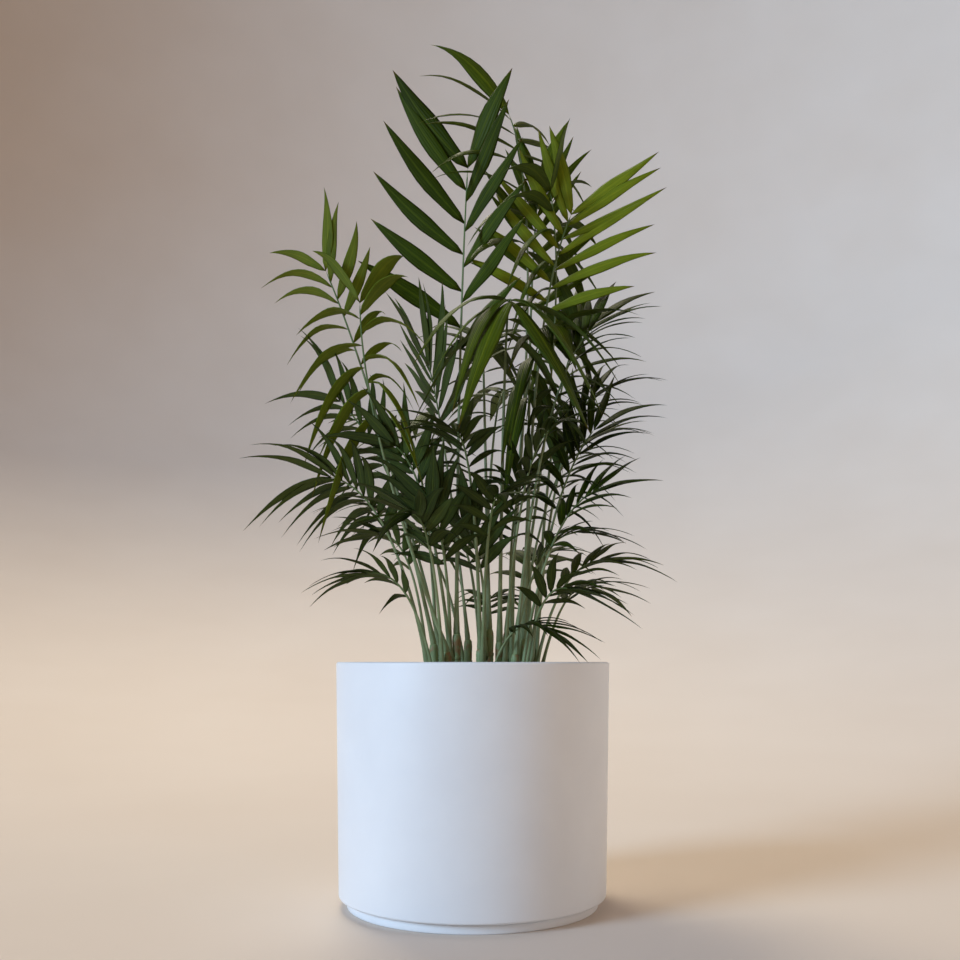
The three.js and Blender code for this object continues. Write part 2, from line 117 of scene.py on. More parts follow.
def living_leaf(name, shade, lit, through, glow):
    """Living palm leaf: satin and waxy above, duller and paler beneath, ribbed by parallel veins, browned at
    the very tip, and bright where light comes through it. `glow` is the share of light that does."""
    m = new_material(name)
    blade = node(m, "UVMap", uv_map="blade")
    place = node(m, "SeparateXYZ", links={0: blade.outputs["UV"]})
    across, along = place.outputs[0], place.outputs[1]
    tone = node(m, "Attribute", attribute_name="tone").outputs["Fac"]
    under = node(m, "Attribute", attribute_name="under").outputs["Fac"]
    where = node(m, "TexCoord").outputs["Object"]

    # Mottling a few centimetres wide, added to each leaflet's own tone.
    mottle = node(m, "TexNoise", {"Scale": 34, "Detail": 3, "Roughness": 0.6}, {"Vector": where})
    shift = node(m, "MapRange", {"From Min": 0.3, "From Max": 0.7, "To Min": -0.22, "To Max": 0.22},
                 {"Value": mottle.outputs["Fac"]})
    own = node(m, "Math", links={0: tone, 1: shift.outputs["Result"]}, operation="ADD", use_clamp=True)
    # From the shade colour to the lit colour by the leaflet's tone: partly the leaf's own green, partly
    # painted light and painted shade.
    green = node(m, "Mix", {MIX_A: linear(shade), MIX_B: linear(lit)}, {MIX_FACTOR: own.outputs[0]},
                 data_type="RGBA")

    # Parallel veins, drawn about 1.5 mm apart so that they show: the real ones are half a millimetre apart.
    bent = node(m, "TexNoise", {"Scale": 3, "Detail": 1}, {"Vector": blade.outputs["UV"]})
    drift = node(m, "Math", {1: 0.06}, {0: bent.outputs["Fac"]}, operation="MULTIPLY")
    line = node(m, "Math", links={0: across, 1: drift.outputs[0]}, operation="ADD")
    turns = node(m, "Math", {1: 2 * math.pi * VEINS_ACROSS}, {0: line.outputs[0]}, operation="MULTIPLY")
    veins = node(m, "Math", links={0: turns.outputs[0]}, operation="SINE")
    veined = node(m, "MapRange", {"From Min": 0.55, "From Max": 1, "To Max": 0.15},
                  {"Value": veins.outputs[0]})
    pale = node(m, "Mix", {MIX_B: linear(through)},
                {MIX_FACTOR: veined.outputs["Result"], MIX_A: green.outputs[MIX_RESULT]}, data_type="RGBA")

    # The midrib: one pale line down the middle, finer towards the tip.
    middle = node(m, "Math", {1: 0.5}, {0: across}, operation="SUBTRACT")
    apart = node(m, "Math", links={0: middle.outputs[0]}, operation="ABSOLUTE")
    keel = node(m, "MapRange", {"From Min": 0.015, "From Max": 0.06, "To Min": 0.34, "To Max": 0},
                {"Value": apart.outputs[0]})
    ribbed = node(m, "Mix", {MIX_B: linear(through)},
                  {MIX_FACTOR: keel.outputs["Result"], MIX_A: pale.outputs[MIX_RESULT]}, data_type="RGBA")

    # The underside is paler and greyer, and the last few millimetres of the tip have dried.
    below = node(m, "Math", {1: 0.3}, {0: under}, operation="MULTIPLY")
    sided = node(m, "Mix", {MIX_B: linear("#6f8450")},
                 {MIX_FACTOR: below.outputs[0], MIX_A: ribbed.outputs[MIX_RESULT]}, data_type="RGBA")
    dry = node(m, "MapRange", {"From Min": 0.93, "From Max": 0.99, "To Max": 0.85}, {"Value": along})
    colour = node(m, "Mix", {MIX_B: linear("#6b4a24")},
                  {MIX_FACTOR: dry.outputs["Result"], MIX_A: sided.outputs[MIX_RESULT]}, data_type="RGBA")

    bump = node(m, "Bump", {"Strength": 0.5, "Distance": 0.25 * MM}, {"Height": veins.outputs[0]})
    gloss = node(m, "MapRange", {"To Min": 0.4, "To Max": 0.55}, {"Value": mottle.outputs["Fac"]})
    dull = node(m, "Math", {1: 0.16}, {0: under}, operation="MULTIPLY")
    rough = node(m, "Math", links={0: gloss.outputs["Result"], 1: dull.outputs[0]}, operation="ADD")
    skin = node(m, "BsdfPrincipled",
                {"IOR": 1.42, "Specular IOR Level": 0.2, "Specular Tint": linear("#e6e8b8")},
                {"Base Color": colour.outputs[MIX_RESULT], "Roughness": rough.outputs[0],
                 "Normal": bump.outputs["Normal"]})
    passing = node(m, "Mix", {MIX_FACTOR: 0.55, MIX_B: linear(through)},
                   {MIX_A: colour.outputs[MIX_RESULT]}, data_type="RGBA")
    inner = node(m, "BsdfTranslucent", links={"Color": passing.outputs[MIX_RESULT]})
    both = node(m, "MixShader", {0: glow}, {1: skin.outputs[0], 2: inner.outputs[0]})
    return finish_material(m, both)


def waxy_stalk():
    """Palm stalk: pale grey green under a bloom of wax, greener and narrower towards the leaflets, with fine
    ridges along it."""
    m = new_material("waxy_palm_stalk")
    blade = node(m, "UVMap", uv_map="blade")
    place = node(m, "SeparateXYZ", links={0: blade.outputs["UV"]})
    where = node(m, "TexCoord").outputs["Object"]
    bloom = node(m, "TexNoise", {"Scale": 90, "Detail": 3}, {"Vector": where})
    base = node(m, "Mix", {MIX_A: linear("#5a693c"), MIX_B: linear("#9ba678")},
                {MIX_FACTOR: bloom.outputs["Fac"]}, data_type="RGBA")
    higher = node(m, "MapRange", {"From Min": 0.45, "From Max": 0.9, "To Max": 0.85},
                  {"Value": place.outputs[1]})
    colour = node(m, "Mix", {MIX_B: linear("#4c6b2c")},
                  {MIX_FACTOR: higher.outputs["Result"], MIX_A: base.outputs[MIX_RESULT]}, data_type="RGBA")
    turns = node(m, "Math", {1: 2 * math.pi * 8}, {0: place.outputs[0]}, operation="MULTIPLY")
    ridges = node(m, "Math", links={0: turns.outputs[0]}, operation="SINE")
    bump = node(m, "Bump", {"Strength": 0.4, "Distance": 0.15 * MM}, {"Height": ridges.outputs[0]})
    shader = node(m, "BsdfPrincipled", {"IOR": 1.42, "Roughness": 0.45},
                  {"Base Color": colour.outputs[MIX_RESULT], "Normal": bump.outputs["Normal"]})
    return finish_material(m, shader)


def ringed_cane():
    """Young palm cane: green skin streaked along its length, with papery brown left on its rings."""
    m = new_material("ringed_palm_cane")
    where = node(m, "TexCoord").outputs["Object"]
    drawn = node(m, "Mapping", {"Scale": (1, 1, 0.12)}, {"Vector": where})
    streak = node(m, "TexNoise", {"Scale": 700, "Detail": 3}, {"Vector": drawn.outputs[0]})
    patch = node(m, "TexNoise", {"Scale": 130, "Detail": 2}, {"Vector": where})
    green = node(m, "Mix", {MIX_A: linear("#5c6f3e"), MIX_B: linear("#9caa78")},
                 {MIX_FACTOR: streak.outputs["Fac"]}, data_type="RGBA")
    husk = node(m, "MapRange", {"From Min": 0.52, "From Max": 0.62, "To Max": 0.9},
                {"Value": patch.outputs["Fac"]})
    colour = node(m, "Mix", {MIX_B: linear("#8b6b43")},
                  {MIX_FACTOR: husk.outputs["Result"], MIX_A: green.outputs[MIX_RESULT]}, data_type="RGBA")
    bump = node(m, "Bump", {"Strength": 0.6, "Distance": 0.2 * MM}, {"Height": streak.outputs["Fac"]})
    shader = node(m, "BsdfPrincipled", {"Roughness": 0.6},
                  {"Base Color": colour.outputs[MIX_RESULT], "Normal": bump.outputs["Normal"]})
    return finish_material(m, shader)


def crumbly(name, dark, light, grain, rough):
    """Potting mix or what lies in it: dull, broken in colour at the size of its own grain in millimetres."""
    m = new_material(name)
    where = node(m, "TexCoord").outputs["Object"]
    speck = node(m, "TexNoise", {"Scale": 1 / (grain * MM), "Detail": 4, "Roughness": 0.65},
                 {"Vector": where})
    spread = node(m, "MapRange", {"From Min": 0.35, "From Max": 0.65}, {"Value": speck.outputs["Fac"]})
    colour = node(m, "Mix", {MIX_A: linear(dark), MIX_B: linear(light)},
                  {MIX_FACTOR: spread.outputs["Result"]}, data_type="RGBA")
    bump = node(m, "Bump", {"Strength": 0.8, "Distance": 0.3 * grain * MM}, {"Height": speck.outputs["Fac"]})
    shader = node(m, "BsdfPrincipled", {"Roughness": rough},
                  {"Base Color": colour.outputs[MIX_RESULT], "Normal": bump.outputs["Normal"]})
    return finish_material(m, shader)


def studio_paper():
    """The studio's seamless paper: plain, pale and quite dull."""
    m = new_material("studio_paper")
    where = node(m, "TexCoord").outputs["Object"]
    fibre = node(m, "TexNoise", {"Scale": 3, "Detail": 2}, {"Vector": where})
    colour = node(m, "Mix", {MIX_A: linear("#dbcabb"), MIX_B: linear("#e2d3c6")},
                  {MIX_FACTOR: fibre.outputs["Fac"]}, data_type="RGBA")
    shader = node(m, "BsdfPrincipled", {"Roughness": 0.9}, {"Base Color": colour.outputs[MIX_RESULT]})
    return finish_material(m, shader)


VEINS_ACROSS = 7
GLAZE = matt_glaze()
# Three leaf colours from deep to lime. Their spread is partly the palm's own green and partly painted light:
# lime for fronds in the window light and the light from behind, deep for fronds in shade low in the clump.
LEAVES = {
    "leaf_deep": living_leaf("deep_leaf_painted_shade", "#131d04", "#36480b", "#6b7e14", 0.22),
    "leaf_green": living_leaf("mid_green_leaf", "#27380a", "#526414", "#929e1e", 0.3),
    "leaf_lime": living_leaf("lime_leaf_painted_light", "#485a0e", "#829226", "#b8bc34", 0.38),
}
STALK = waxy_stalk()
CANE = ringed_cane()
SOIL = crumbly("damp_potting_mix", "#1d140e", "#4a3626", 2.5, 0.95)
BARK = crumbly("pine_bark", "#3b2416", "#6f4c30", 1.5, 0.85)
PERLITE = crumbly("perlite", "#cfcac0", "#f2efe8", 0.8, 0.9)
PAPER = studio_paper()


# Seedlings: where each stem leaves the soil, and its head.
SEEDLINGS = [
    ((-29, -9), (-31, -10, 36)),
    ((-19, -25), (-20, -26, 30)),
    ((-12, -7), (-13, -8, 44)),
    ((-4, 13), (-4, 14, 40)),
    ((6, -21), (6, -22, 32)),
    ((13, 2), (13, 3, 48)),
    ((20, -13), (21, -14, 38)),
    ((27, 13), (28, 14, 46)),
    ((31, -32), (33, -34, 28)),
    ((39, -8), (41, -9, 40)),
    ((44, 11), (46, 12, 34)),
    ((-25, 16), (-27, 17, 32)),
    ((8, 32), (9, 34, 30)),
    ((31, 36), (32, 38, 26)),
    ((50, 30), (52, 31, 30)),
]
STEM_RADIUS = 3.6
STEM_DEPTH = 24
STALK_RADIUS = 2
RACHIS_TIP_RADIUS = 0.6
FIRST_SHEATH = 13
SHEATH_SPACING = 9
GAP = 0.3
STAGGER = 0.35
LONE_SPREAD = 12
LONE_LENGTH = 1.2

# Each kind of frond: its pairs of leaflets, their length and width, the share of midrib left bare, the angle
# from the midrib at the lowest pair and at the tip, lift, droop and sweep, how much shorter one side is, and
# whether it ends in one leaflet.
KINDS = {
    "tall": (7, 114, 13, 0.64, (64, 33), 6, 0.16, 0.12, 0, False),
    "spire": (6, 124, 14.5, 0.55, (52, 35), 22, 0.16, 0.1, 0.22, False),
    "crest": (8, 94, 10.5, 0.55, (84, 58), 0, 0.62, 0.1, 0, True),
    "ribbon": (7, 94, 9.5, 0.58, (66, 26), 6, 0.85, 0.1, 0, False),
    "fan": (7, 112, 13, 0.6, (52, 22), 8, 0.22, 0.1, 0, False),
    "arching": (7, 96, 12, 0.58, (66, 28), 8, 0.75, 0.12, 0, False),
    "hanging": (6, 112, 12, 0.6, (98, 30), 0, 1.35, 0.05, 0, False),
    "feather": (9, 84, 8, 0.5, (62, 28), 12, 0.62, 0.14, 0, False),
    "young": (6, 64, 9, 0.5, (54, 24), 12, 0.4, 0.12, 0, False),
}

# Fronds: the stem that bears each, its midrib's bend and tip, its kind, its leaflets' roll about the midrib
# in degrees, its size, and how light its green is. That lightness is partly painted light: lime on the fronds
# lit by the window light and from behind, deep on those in shade low in the clump.
FRONDS = [
    (3, (-13, -8, 280), (-5, 2, 446), "spire", 16, 1, 0.25),
    (8, (66, 34, 432), (32, 38, 517), "crest", 56, 1.25, 0.4),
    (10, (46, -12, 310), (84, -4, 400), "tall", 72, 0.84, 0.95),
    (11, (46, 36, 340), (60, 50, 452), "fan", 10, 0.72, 0.5),
    (1, (-78, -10, 240), (-124, -12, 346), "ribbon", 55, 1, 0.8),
    (2, (-90, -28, 212), (-92, -34, 310), "hanging", 50, 1, 0.85),
    (4, (-24, 34, 220), (-38, 18, 272), "tall", 25, 0.8, 0.12),
    (6, (8, 40, 330), (8, 92, 320), "feather", 0, 1.2, 0.1),
    (7, (26, -26, 336), (30, -66, 300), "hanging", 0, 1.15, 0.5),
    (9, (50, -36, 230), (94, -30, 287), "arching", 35, 0.8, 0.12),
    (11, (64, 16, 210), (104, 26, 249), "feather", 30, 0.9, 0.08),
    (10, (60, -16, 160), (98, -20, 207), "feather", 55, 0.9, 0.05),
    (9, (54, -42, 130), (93, -46, 152), "young", 35, 0.95, 0.1),
    (7, (44, -24, 122), (84, -16, 124), "young", 10, 0.8, 0.1),
    (10, (68, -4, 102), (107, 0, 104), "young", 20, 0.9, 0.3),
    (9, (48, -52, 84), (72, -62, 76), "young", -20, 0.85, 0.05),
    (5, (28, -46, 60), (54, -58, 48), "young", 10, 0.75, 0.05),
    (1, (-66, -8, 160), (-116, -4, 171), "feather", 40, 1.05, 0.05),
    (12, (-58, 20, 184), (-114, 24, 242), "feather", 45, 1, 0.15),
    (2, (-46, -32, 96), (-82, -34, 90), "young", 15, 0.85, 0.2),
    (12, (-46, 12, 124), (-76, 10, 126), "young", 20, 0.9, 0.1),
    (3, (-34, -22, 172), (-62, -28, 192), "young", 35, 1.05, 0.05),
    (5, (2, -30, 190), (-12, -60, 196), "feather", 0, 0.8, 0.05),
    (5, (10, -44, 148), (20, -70, 146), "young", 10, 0.95, 0.05),
    (7, (36, -30, 186), (60, -52, 200), "feather", 30, 0.85, 0.05),
    (2, (-30, -46, 136), (-46, -66, 132), "young", -10, 1.1, 0.05),
    (6, (12, -2, 102), (-6, -20, 130), "young", 0, 1.1, 0.05),
    (8, (36, 1, 270), (60, -28, 288), "hanging", 20, 1, 0.35),
    (13, (14, 60, 260), (30, 112, 276), "arching", 0, 1, 0.2),
    (12, (-40, 46, 211), (-66, 88, 238), "arching", 0, 1, 0.2),
    (14, (56, 62, 180), (98, 88, 220), "feather", 10, 1, 0.15),
    (4, (-26, 56, 136), (-80, 78, 156), "feather", 10, 0.95, 0.1),
    (13, (0, 64, 140), (-22, 112, 140), "young", 0, 1.15, 0.1),
    (14, (44, 80, 120), (62, 116, 120), "young", 0, 1.15, 0.1),
    (3, (-18, -24, 110), (-32, -42, 142), "young", 20, 1, 0.05),
    (13, (12, 60, 80), (16, 96, 80), "young", 0, 0.95, 0.1),
    (15, (76, 46, 90), (100, 54, 86), "young", 0, 0.85, 0.1),
    (15, (66, 38, 260), (96, 58, 316), "arching", 30, 0.95, 0.3),
    (8, (26, 0, 140), (42, -18, 170), "feather", 10, 0.75, 0.05),
    (14, (86, 28, 320), (66, -6, 420), "hanging", 10, 0.95, 0.3),
]


def only(piece):
    """Leaves one piece selected and active."""
    bpy.ops.object.select_all(action="DESELECT")
    piece.select_set(True)
    bpy.context.view_layer.objects.active = piece


def named(piece, name, *materials):
    piece.name = piece.data.name = name
    piece.data.materials.clear()
    for material in materials:
        piece.data.materials.append(material)
    return piece


def copied(master, name):
    """A copy with its own mesh."""
    piece = master.copy()
    piece.data = master.data.copy()
    piece.name = name
    bpy.context.scene.collection.objects.link(piece)
    return piece


def joined(pieces, name):
    bpy.ops.object.select_all(action="DESELECT")
    for piece in pieces:
        piece.select_set(True)
    bpy.context.view_layer.objects.active = pieces[0]
    bpy.ops.object.join()
    pieces[0].name = pieces[0].data.name = name
    return pieces[0]


def discard(piece):
    bpy.data.objects.remove(piece)


def turned(name, outline, rounding, steps, *materials):
    """A piece turned on a wheel: the outline, in millimetres of radius and height, is drawn from one point by
    extruding it, then spun round the upright axis, and its corners are rounded."""
    bpy.ops.object.select_all(action="DESELECT")
    bpy.ops.mesh.primitive_plane_add(size=MM)
    piece = bpy.context.object
    bpy.ops.object.mode_set(mode="EDIT")
    bpy.ops.mesh.merge(type="CENTER")
    radius, height = outline[0]
    bpy.ops.transform.translate(value=(radius * MM, 0, height * MM))
    for (r0, z0), (r1, z1) in zip(outline, outline[1:]):
        step = {"value": ((r1 - r0) * MM, 0, (z1 - z0) * MM)}
        bpy.ops.mesh.extrude_vertices_move(TRANSFORM_OT_translate=step)
    bpy.ops.mesh.select_all(action="SELECT")
    bpy.ops.mesh.spin(steps=steps, angle=2 * math.pi, center=(0, 0, 0), axis=(0, 0, 1))
    bpy.ops.mesh.select_all(action="SELECT")
    bpy.ops.mesh.remove_doubles(threshold=0.01 * MM)
    bpy.ops.mesh.normals_make_consistent(inside=False)
    bpy.ops.object.mode_set(mode="OBJECT")
    if rounding:
        bevel = piece.modifiers.new("rounding", "BEVEL")
        bevel.width = rounding * MM
        bevel.segments = 4
        bevel.angle_limit = math.radians(30)
        bpy.ops.object.modifier_apply(modifier=bevel.name)
    bpy.ops.object.shade_smooth_by_angle(angle=math.radians(35))
    return named(piece, name, *materials)


def lens_master(sides, rings):
    """A closed body for leaflets and stalks: a ball whose rings go round it from one end to the other.
    Returns it with each point's share along it, and its place across and above it on the unit circle."""
    bpy.ops.object.select_all(action="DESELECT")
    bpy.ops.mesh.primitive_uv_sphere_add(segments=sides, ring_count=rings, radius=1)
    master = bpy.context.object
    places = []
    for vertex in master.data.vertices:
        x, y, z = vertex.co
        girth = math.hypot(x, y)
        along = math.acos(max(-1, min(1, z))) / math.pi
        places.append((along, x / girth, y / girth) if girth > 0.001 else (along, 0, 0))
    master.data.uv_layers[0].name = "blade"
    across = master.data.uv_layers["blade"].data
    for loop in master.data.loops:
        along, x, _ = places[loop.vertex_index]
        across[loop.index].uv = (0.5 + 0.5 * x, along)
    under = master.data.attributes.new("under", "FLOAT", "POINT")
    under.data.foreach_set("value", [1.0 if y < -0.1 else 0.0 for _, _, y in places])
    bpy.ops.object.shade_smooth()
    return master, places


def shaped(master, places, place, tone, slot):
    """A copy of a master with its points put where `place` says, its own tone, and its material's slot."""
    piece = copied(master, "part")
    for vertex, spot in zip(piece.data.vertices, places):
        vertex.co = place(*spot)
    shade = piece.data.attributes.new("tone", "FLOAT", "POINT")
    shade.data.foreach_set("value", [tone] * len(piece.data.vertices))
    for face in piece.data.polygons:
        face.material_index = slot
    return piece


def scatter(a, b):
    """A repeatable scatter between -1 and 1."""
    s = math.sin(a * 127.1 + b * 311.7) * 43758.5453
    return 2 * (s - math.floor(s)) - 1


def blended(a, b, share):
    return a + (b - a) * share


def about(vector, axis, degrees):
    return Matrix.Rotation(math.radians(degrees), 3, axis) @ vector


# How a frond is made. Lengths and places are in millimetres, and places are above the middle of the soil.
SOIL_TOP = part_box("potting_soil")[1].z
SHEATH_REACH = 0.07  # the sheath's share of the midrib's length
SHEATH_LENGTH, TOP_SHEATH_LENGTH = 14, 6
SHEATH_WRAP = 1.5
SHEATH_SWELL = 0.5
COLLAR_SWELL, COLLAR_REACH = 1.1, 0.03
STALK_SLIMNESS = 0.85
CHANNEL_DEPTH = 0.62

# How far leaflets stray from the rule of their kind: place and angle, lift, droop, size and tone.
PLACE_SCATTER = 0.15
ANGLE_SCATTER, LIFT_SCATTER = 5, 7
DROOP_SCATTER = 0.3
SIZE_SCATTER = 0.08
TONE_SCATTER = 0.12
LAST_BREADTH = 1.25
MOST_TURNED_UP = 0.9

# How a leaflet's blade bends: twist in degrees, and the rest as shares of its length or width.
TWIST = 16
SWAY = 0.035
CURL, CURL_SCATTER = 0.04, 0.12
FOLD = 0.2
RUFFLE, RUFFLE_WAVES = 0.05, 9


class Midrib:
    """A frond's midrib, from where its stalk leaves the stem to its tip."""

    def __init__(self, row):
        stem, bend, tip, *_ = row
        (fx, fy), (hx, hy, hz) = SEEDLINGS[stem - 1]
        foot, head = Vector((fx, fy, 0)), Vector((hx, hy, hz))
        self.stem_along = (head - foot).normalized()
        self.bend, self.tip = Vector(bend), Vector(tip)
        self.taller = sum(1 for other in FRONDS if other[0] == stem and other[2][2] > tip[2])
        if self.taller:
            outward = (self.tip - head).to_2d().normalized().to_3d()
            wraps = self.taller - 1
            self.base = head - self.stem_along * (FIRST_SHEATH + SHEATH_SPACING * wraps)
            self.base += outward * (STEM_RADIUS + STALK_RADIUS + GAP + (2 * STALK_RADIUS + GAP) * wraps)
            self.root = self.base - self.stem_along * SHEATH_LENGTH - outward * (STALK_RADIUS + SHEATH_WRAP)
        else:
            self.base = head + UP * (GAP + STALK_RADIUS / 2)
            self.root = head - self.stem_along * TOP_SHEATH_LENGTH
        reach = (self.tip - self.base).to_2d().normalized().to_3d()
        self.level_across = UP.cross(reach)

    def point(self, s):
        if s < 0:
            return self.base.lerp(self.root, -s / SHEATH_REACH)
        return self.base * (1 - s) ** 2 + self.bend * (2 * s * (1 - s)) + self.tip * s * s

    def along(self, s):
        s = max(s, 0)
        return ((self.bend - self.base) * (1 - s) + (self.tip - self.bend) * s).normalized()

    def across(self, s, roll):
        along = self.along(s)
        across = self.level_across - along * self.level_across.dot(along)
        return about(across.normalized(), along, roll)


def stalk_place(midrib, roll):
    """Where a stalk's points go: round and swollen where it sheathes the stem, channelled above, and fine at
    the tip."""
    def place(along, x, y):
        s = blended(-SHEATH_REACH, 1, along)
        across = midrib.across(s, roll)
        face = midrib.along(s).cross(across)
        radius = blended(STALK_SLIMNESS * STALK_RADIUS, RACHIS_TIP_RADIUS, max(s, 0) ** 0.8)
        radius += COLLAR_SWELL * math.exp(-abs(s) / COLLAR_REACH) + (SHEATH_SWELL if s < 0 else 0)
        radius *= 0.8 if x == y == 0 else 1
        lifted = y * (CHANNEL_DEPTH if y > 0.3 else 1)
        return (midrib.point(s) + across * (x * radius) + face * (lifted * radius)) * MM + UP * SOIL_TOP
    return place


def leaflet_places(row, number, midrib):
    """The leaflets of a frond, as the functions that place their points, and their tones."""
    _, _, _, kind, roll, size, tone = row
    pairs, length, width, bare, spread, lift, droop, sweep, uneven, lone_tip = KINDS[kind]
    fullness = min(1, (width - SLENDER) / (FULL - SLENDER))
    found = []
    for pair in range(pairs):
        for hand in (1, -1):
            last = pair == pairs - 1
            lone = last and lone_tip
            if lone and hand < 0:
                continue
            share = pair / (pairs - 1)
            seed = 2 * pair + hand
            place = pair + (STAGGER if hand > 0 else 0) + PLACE_SCATTER * scatter(number, seed)
            at = 1 if last else bare + (1 - bare) * place / (pairs - 1)
            along = midrib.along(at)
            across = midrib.across(at, 0 if lone else roll)
            face = along.cross(across)
            angle = LONE_SPREAD if lone else blended(spread[0], spread[1], share)
            angle = math.radians(angle + ANGLE_SCATTER * scatter(number + 3, seed))
            rise = math.radians(lift + LIFT_SCATTER * scatter(number + 5, seed))
            aside = across * (hand * math.cos(rise)) + face * math.sin(rise)
            heading = along * math.cos(angle) + aside * math.sin(angle)
            fall = droop * (1 + DROOP_SCATTER * scatter(number + 11, seed)) * (1.2 - 0.65 * share)
            level = math.sqrt(max(0, 1 - heading.z ** 2)) + 0.08
            bow = along * sweep - UP * (fall * level)
            swell = 0.75 + 0.25 * math.sin(math.pi * (0.15 + 0.6 * share))
            own = LONE_LENGTH if lone else 1 - uneven if hand < 0 else 1
            arc = own * length * size * swell * (1 + SIZE_SCATTER * scatter(number + 7, seed))
            reach = arc / math.sqrt(1 + 1.1 * bow.length_squared)
            broad = width * size * (LAST_BREADTH if last else 1)
            broad *= 1 + SIZE_SCATTER * scatter(number + 9, seed)
            turned_up = min(MOST_TURNED_UP, fall)
            side = (face * (1 - turned_up) + UP * turned_up).cross(heading).normalized()
            blade = (midrib.point(at), heading, bow, side, reach, broad, fullness, number * 31 + seed)
            found.append((leaflet_place(blade), tone + TONE_SCATTER * scatter(number + 13, seed)))
    return found


def breadth(along, fullness):
    """A blade's width as a share of its widest: narrow where it joins the midrib, and drawn out to a fine
    tip. A slender blade is widest a quarter of the way out, and a full one keeps its width past halfway."""
    base = min(1, 0.28 + 0.72 * min(1, along / blended(0.26, 0.4, fullness)) ** 0.8)
    taper = min(1, (1 - along) / blended(0.62, 0.46, fullness))
    return base * taper ** blended(0.95 + 0.25 * along, 0.82, fullness)


def leaflet_place(blade):
    start, heading, bow, side, reach, broad, fullness, seed = blade
    twist = TWIST * scatter(seed, 1)
    sway = SWAY * scatter(seed, 2)
    curl = CURL_SCATTER * scatter(seed, 3) + CURL
    normal_start = heading.cross(side).normalized()

    def place(along, x, y):
        u = along - 0.01
        tangent = (heading + bow * (2 * u)).normalized()
        middle = start + (heading * u + bow * (u * u)) * reach
        curled = normal_start * (curl * reach * u ** 4 * 0.5)
        middle += side * (sway * reach * math.sin(math.pi * u)) - curled
        middle -= UP * (TIP_FALL * (1 - fullness) * reach * u ** 3)
        wide = about(side, tangent, twist * u * u)
        normal = tangent.cross(wide).normalized()
        shape = breadth(along, fullness)
        half = broad * shape / 2
        if x == y == 0:
            half = 0
        fold = FOLD * (1 - 0.5 * along)
        ruffle = RUFFLE * broad * math.sin(RUFFLE_WAVES * u + seed) * abs(x) * shape
        thick = blended(0.55, 0.2, along) if half else 0.1
        lift = y * thick - abs(x) * half * fold + ruffle
        return (middle + wide * (x * half) + normal * lift) * MM + UP * SOIL_TOP
    return place


def frond(row, number):
    """One frond in a single piece: its stalk and midrib, and its leaflets along it."""
    name = f"frond_{number + 1:02d}"
    midrib = Midrib(row)
    roll, tone = row[4], row[6]
    # The frond's tone picks its leaf colour: partly its own green, partly painted light and painted shade.
    slot = "leaf_deep" if tone < 0.3 else "leaf_green" if tone < 0.6 else "leaf_lime"
    low, high = TONE_RANGES[slot]
    for master in (STALK_MASTER, BLADE_MASTER):
        named(master, master.name, LEAVES[slot], STALK)
    parts = [shaped(STALK_MASTER, STALK_PLACES, stalk_place(midrib, roll), tone, 1)]
    for place, own in leaflet_places(row, number, midrib):
        share = min(1, max(0, (own - low) / (high - low)))
        parts.append(shaped(BLADE_MASTER, BLADE_PLACES, place, share, 0))
    piece = joined(parts, "palm_" + name)
    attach(piece, "root")
    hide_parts(name)
    return piece


TONE_RANGES = {"leaf_deep": (-0.05, 0.35), "leaf_green": (0.2, 0.7), "leaf_lime": (0.55, 1.1)}


def cane_master():
    """A young cane one unit long: a round end extruded upwards and drawn in and out at each ring."""
    bpy.ops.object.select_all(action="DESELECT")
    bpy.ops.mesh.primitive_circle_add(vertices=16, radius=1, fill_type="NGON")
    cane = bpy.context.object
    bpy.ops.object.mode_set(mode="EDIT")
    radius, height = 1, 0
    for top, girth in CANE_RINGS:
        move = {"value": (0, 0, top - height)}
        bpy.ops.mesh.extrude_region_move(TRANSFORM_OT_translate=move)
        bpy.ops.transform.resize(value=(girth / radius, girth / radius, 1), center_override=(0, 0, top))
        radius, height = girth, top
    bpy.ops.mesh.select_all(action="SELECT")
    bpy.ops.mesh.normals_make_consistent(inside=False)
    bpy.ops.object.mode_set(mode="OBJECT")
    bpy.ops.object.shade_smooth_by_angle(angle=math.radians(50))
    return cane


# Each ring as its height up the cane and its girth: smooth lengths with a narrow raised ring between them,
# then the sheath of the top stalk, which swells and closes.
CANE_RINGS = [(0.30, 1), (0.42, 0.98), (0.43, 1.08), (0.455, 1.08), (0.465, 0.96), (0.56, 0.94),
              (0.57, 1.04), (0.595, 1.04), (0.605, 0.92), (0.70, 0.9), (0.71, 1.0), (0.735, 1.0),
              (0.745, 0.9), (0.83, 0.94), (0.92, 0.98), (0.97, 0.9), (1, 0.7)]


def canes():
    master = cane_master()
    for number, ((fx, fy), head) in enumerate(SEEDLINGS):
        foot, top = Vector((fx, fy, 0)), Vector(head)
        along = (top - foot).normalized()
        root = foot - along * STEM_DEPTH
        name = f"stem_{number + 1:02d}"
        piece = copied(master, "cane")
        size = STEM_RADIUS * (1 + 0.08 * scatter(number, 40))
        stretch = Matrix.Diagonal((size, size, (top - root).length, 1))
        spin = Matrix.Rotation(math.radians(137 * number), 4, "Z")
        lean = UP.rotation_difference(along).to_matrix().to_4x4()
        piece.data.transform(Matrix.Translation(UP * SOIL_TOP) @ Matrix.Scale(MM, 4)
                             @ Matrix.Translation(root) @ lean @ spin @ stretch)
        named(piece, "cane_" + name, CANE)
        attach(piece, "root")
        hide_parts(name)
    discard(master)


